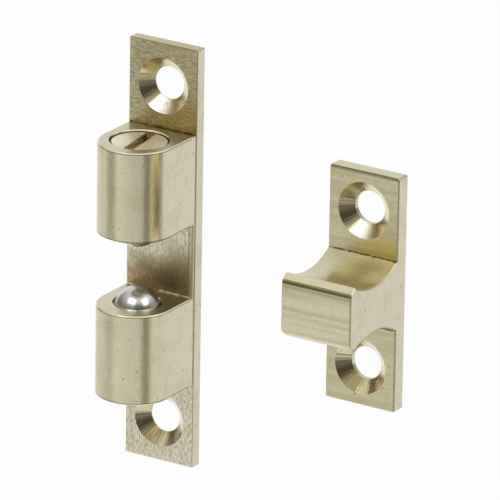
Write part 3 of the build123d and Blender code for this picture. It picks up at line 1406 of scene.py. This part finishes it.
@dataclass
class Strike:
    """The strike: a plate with a waisted tongue.

    Attributes:
        across: X of its middle, in millimetres.
        rise: Z of its middle, in millimetres.
        hole_height: Height of the screw holes above and below the middle, in millimetres.
        plate_front: Depth of the plate's front face, in millimetres.
        root_height: Half the tongue's height where it leaves the plate, in millimetres.
        top: Height of the plate's upper end, in millimetres.
        lip_height: Height of the head's upper front edge, in millimetres.
        reach: More than the tongue's depth, in millimetres, so that all of it counts as milled.
    """

    across: float = 32.2
    rise: float = 2.0
    hole_height: float = 11.05
    plate_front: float = -2.3
    root_height: float = 4.9
    top: float = 18.55
    lip_height: float = 5.6
    reach: float = 20.0

    def stains(self) -> tuple[StainAndPaintedLight, ...]:
        """Gives the golden places round the tongue's root, the paler head, and painted shade along the
        plate's top edge and under the head's bevel.

        Returns:
            The stains, the lowest first.
        """
        root = self.rise + self.root_height
        right = (self.across - 3.5, self.across + 1.0, 50.0, 51.0)
        plate, plate_skin = (-2.6, -2.4, 0.5, 1.0), (-2.6, -2.4, -2.2, -2.15)
        hollow, head = (-12.4, -10.0, 0.5, 1.0), (-14.5, -14.4, -12.4, -12.0)
        head_skin = (-14.5, -14.4, -13.7, -13.6)
        above = (root - 0.1, root, root + 1.5, root + 3.6)
        within = (self.rise, self.rise + 1.0, root - 0.1, root)
        top, lip = self.top, self.lip_height
        edge = (0.10, 0.09, 0.04, 1.0)
        return (
            StainAndPaintedLight((0.60, 0.50, 0.17, 1.0), 0.75, right, plate, above),
            StainAndPaintedLight((0.68, 0.60, 0.32, 1.0), 0.7, right, hollow, within),
            StainAndPaintedLight((0.76, 0.71, 0.53, 1.0), 0.6, EVERYWHERE, head, EVERYWHERE),
            # Painted shade: a dark line under the plate's top bevel, and a darkening with dark lines under
            # the head's bevel.
            StainAndPaintedLight(edge, 0.85, EVERYWHERE, plate_skin, (top - 0.5, top - 0.32, 30.0, 31.0)),
            StainAndPaintedLight((0.48, 0.43, 0.27, 1.0), 0.55, EVERYWHERE, head_skin, (lip - 2.2, lip - 0.6, 30.0, 31.0)),
            StainAndPaintedLight(edge, 0.4, EVERYWHERE, head_skin, (lip - 0.9, lip - 0.78, lip - 0.62, lip - 0.5)),
            StainAndPaintedLight(edge, 0.85, EVERYWHERE, head_skin, (lip - 0.5, lip - 0.3, 30.0, 31.0)),
        )

    def seams(self) -> tuple[CornerLine, ...]:
        """Gives the ragged lines of painted shade where the tongue leaves the plate.

        Returns:
            One above the tongue and one below it.
        """
        # Painted shade in the corners where the tongue leaves the plate.
        dark = (0.14, 0.11, 0.05, 1.0)
        roots = [self.rise + side.value * self.root_height for side in Side]
        return tuple(CornerLine(self.plate_front, root, 0.11, dark) for root in roots)

    def dress(self, frame: dict, effects: SharedEffects) -> None:
        """Gives the strike its finish.

        Args:
            frame: The loaded CAD frame.
            effects: The shared node groups.
        """
        brass = MilledBrass(
            "Milled brass, strike",
            holes=tuple((self.across, self.rise + side.value * self.hole_height) for side in Side),
            level_above=-self.reach,
            drawn_beyond=self.reach,
            seed=17.0,
            stains=self.stains(),
            seams=self.seams(),
            # The lip colour is painted shade under the top bevels.
            lip=(0.22, 0.20, 0.10, 1.0),
            lip_turned=(0.03, 0.12),
            plate_front=self.plate_front,
            grain=0.12,
            marked=0.2,
            bands=0.5,
        )
        coat(frame["nodes"]["strike_plate"], brass.build(effects))


@dataclass(frozen=True)
class SoftBox:
    """A lamp behind a cloth, one metre from the catch and turned to it.

    Attributes:
        name: The lamp's name.
        around: Degrees round the catch, from the front to the right.
        up: Degrees above the level.
        width: Its width, in metres.
        height: Its height, in metres.
        radiance: How bright its cloth is.
    """

    name: str
    around: float
    up: float
    width: float
    height: float
    radiance: float = 3.0

    def hang(self) -> None:
        """Hangs the lamp."""
        data = bpy.data.lights.new(self.name, "AREA")
        data.shape = "RECTANGLE"
        data.size = self.width
        data.size_y = self.height
        data.energy = self.radiance * math.pi * self.width * self.height
        lamp = bpy.data.objects.new(self.name, data)
        azimuth, elevation = math.radians(self.around), math.radians(self.up)
        level = math.cos(elevation)
        lamp.location = (math.sin(azimuth) * level, -math.cos(azimuth) * level, math.sin(elevation))
        lamp.rotation_euler = (math.pi / 2 - elevation, 0.0, azimuth)
        bpy.context.scene.collection.objects.link(lamp)


@dataclass
class Studio:
    """A pale floor far below the held pieces, soft lamps, a white surround and the camera.

    Places on the table are given in degrees round the catch, from the front to the right, and in
    millimetres from it.

    Attributes:
        floor_drop: How far below the catch's middle the floor lies, in metres.
        floor_half: Half the floor's width, in metres.
        room: What metal mirrors of the room in front, low down.
        ceiling: The same, high up.
        corner: The same, low down behind on the right.
        gloom: The dark places of the room and the table.
        amber: The warm place of the table.
        boxes: The lamps.
        right_gap: Borders of the table's dark place on the right.
        front_gap: Borders of its faint one in front.
        left_gap: Middle, half width and softness of its dark place on the left.
        side_gap: The same of a faint one further left.
        warm_place: The same of the warm place.
        camera_at: Where the camera stands, in metres.
        camera_turn: How it is turned, in radians.
        focal_pixels: Its focal length, in pixels of the picture.
    """

    floor_drop: float = 0.10
    floor_half: float = 3.0
    room: Colour = (0.24, 0.215, 0.165, 1.0)
    ceiling: Colour = (0.90, 0.89, 0.83, 1.0)
    corner: Colour = (0.40, 0.40, 0.37, 1.0)
    gloom: Colour = (0.16, 0.15, 0.115, 1.0)
    amber: Colour = (1.0, 0.90, 0.60, 1.0)
    boxes: tuple[SoftBox, ...] = (
        SoftBox("Front box", -9.0, 48.0, 0.64, 0.40),
        SoftBox("Right box", 89.0, 43.0, 0.58, 0.44),
    )
    right_gap: Border = (44.0, 58.0, 75.0, 79.0)
    front_gap: Border = (-25.0, 45.0, 75.0, 79.0)
    left_gap: tuple[float, float, float] = (-46.0, 8.0, 14.0)
    side_gap: tuple[float, float, float] = (-85.0, 25.0, 15.0)
    warm_place: tuple[float, float, float] = (90.0, 14.0, 7.0)
    camera_at: tuple[float, float, float] = (0.52215, -0.80766, 0.35369)
    camera_turn: tuple[float, float, float] = (1.2185, -0.0160, 0.5683)
    focal_pixels: float = 7565.1

    def build(self) -> None:
        """Builds the whole surround."""
        self.floor()
        self.surround()
        for box in self.boxes:
            box.hang()
        self.camera()

    def seen_directly(self, g: Graph) -> Socket:
        """Is 1 for rays from the camera, off metal and through glass, and 0 for the object's light."""
        path = g.node("ShaderNodeLightPath").outputs
        return g.most(path["Is Camera Ray"], g.most(path["Is Glossy Ray"], path["Is Transmission Ray"]))

    def floor(self) -> None:
        """Lays a plain floor, white to the camera, that keeps the shadow and mirrors as a lit table."""
        half = self.floor_half
        corners = np.array([[-half, -half], [half, -half], [half, half], [-half, half]])
        points = np.column_stack([corners, np.full(4, -self.floor_drop)])
        mesh = bpy.data.meshes.new("Floor")
        mesh.from_pydata(points.tolist(), [], [[0, 1, 2, 3]])
        material, g, surface = blank_material("Floor paper")
        surface.inputs["Base Color"].default_value = grey(0.85)
        surface.inputs["Roughness"].default_value = 0.9
        path = g.node("ShaderNodeLightPath").outputs
        glow = g.node("ShaderNodeEmission")
        g.feed(glow.inputs["Color"], g.mix(path["Is Glossy Ray"], grey(1.0), self.table_light(g)))
        join = g.node("ShaderNodeMixShader")
        share = g.most(g.times(self.seen_directly(g), 0.9), path["Is Glossy Ray"])
        for socket, value in zip(join.inputs, (share, surface.outputs[0], glow.outputs[0])):
            g.feed(socket, value)
        output = [n for n in g.tree.nodes if n.type == "OUTPUT_MATERIAL"][0]
        g.feed(output.inputs["Surface"], join.outputs[0])
        mesh.materials.append(material)
        floor = bpy.data.objects.new("Floor", mesh)
        bpy.context.scene.collection.objects.link(floor)

    def table_light(self, g: Graph) -> Socket:
        """Gives the table's light as metal mirrors it: white with soft dark gaps and a warm place.

        Args:
            g: The floor material's graph.

        Returns:
            The colour's socket.
        """
        x, y, _ = g.place()
        around = g.degrees(x, g.times(y, -1.0))
        away = g.distance(x, y)
        far = g.step(away, 210.0, 350.0)
        right = g.times(g.window(around, self.right_gap), g.step(away, 110.0, 160.0))
        gloom = g.most(
            g.times(right, g.lerp(g.step(away, 240.0, 310.0), 0.66, 0.84)),
            g.times(g.band(around, *self.left_gap), g.lerp(far, 0.2, 0.56)),
            g.times(g.window(around, self.front_gap), g.lerp(far, 0.06, 0.33)),
            g.times(g.band(around, *self.side_gap), 0.08),
        )
        warm = g.times(g.band(around, *self.warm_place), g.step(away, 250.0, 290.0))
        return g.mix(warm, g.mix(gloom, grey(1.0), self.gloom), self.amber)

    def surround(self) -> None:
        """Makes the world white to the camera, with the darker room in front where metal mirrors it."""
        world = bpy.data.worlds.new("Surround")
        bpy.context.scene.world = world
        world.use_nodes = True
        world.node_tree.nodes.clear()
        g = Graph(world.node_tree)
        right, behind, up = g.split(g.node("ShaderNodeTexCoord").outputs["Generated"])
        around = g.degrees(right, g.times(behind, -1.0))
        dark = g.times(g.band(around, 46.0, 24.0, 12.0), g.step(up, 0.7, 0.5))
        front = g.mix(g.step(up, 0.1, 0.9), self.room, self.ceiling)
        front = g.mix(dark, front, self.gloom)
        corner = g.mix(g.step(up, 0.25, 0.75), self.corner, grey(1.0))
        back = g.mix(g.step(right, -0.1, 0.15), grey(1.0), corner)
        mirrored = g.mix(g.step(behind, 0.12, 0.42), front, back)
        path = g.node("ShaderNodeLightPath").outputs
        light = g.mix(self.seen_directly(g), grey(0.75), grey(1.0))
        background = g.node("ShaderNodeBackground")
        g.feed(background.inputs["Color"], g.mix(path["Is Glossy Ray"], light, mirrored))
        g.feed(g.node("ShaderNodeOutputWorld").inputs["Surface"], background.outputs[0])

    def camera(self) -> None:
        """Stands the camera where the photograph was taken from, for a square frame."""
        data = bpy.data.cameras.new("Camera")
        data.sensor_width = SENSOR_MM
        data.lens = self.focal_pixels / IMAGE_PIXELS * SENSOR_MM
        data.clip_start = 0.01
        data.clip_end = 20.0
        camera = bpy.data.objects.new("Camera", data)
        camera.location = self.camera_at
        camera.rotation_euler = self.camera_turn
        bpy.context.scene.collection.objects.link(camera)
        bpy.context.scene.camera = camera
        bpy.context.scene.view_settings.view_transform = "Standard"


def main() -> None:
    """Loads the frame, dresses both halves and builds the studio."""
    logging.basicConfig(level=logging.INFO, format="%(name)s: %(message)s")
    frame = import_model()
    effects = SharedEffects()
    CatchBody().dress(frame, effects)
    Strike().dress(frame, effects)
    Studio().build()


if __name__ == "__main__":
    main()
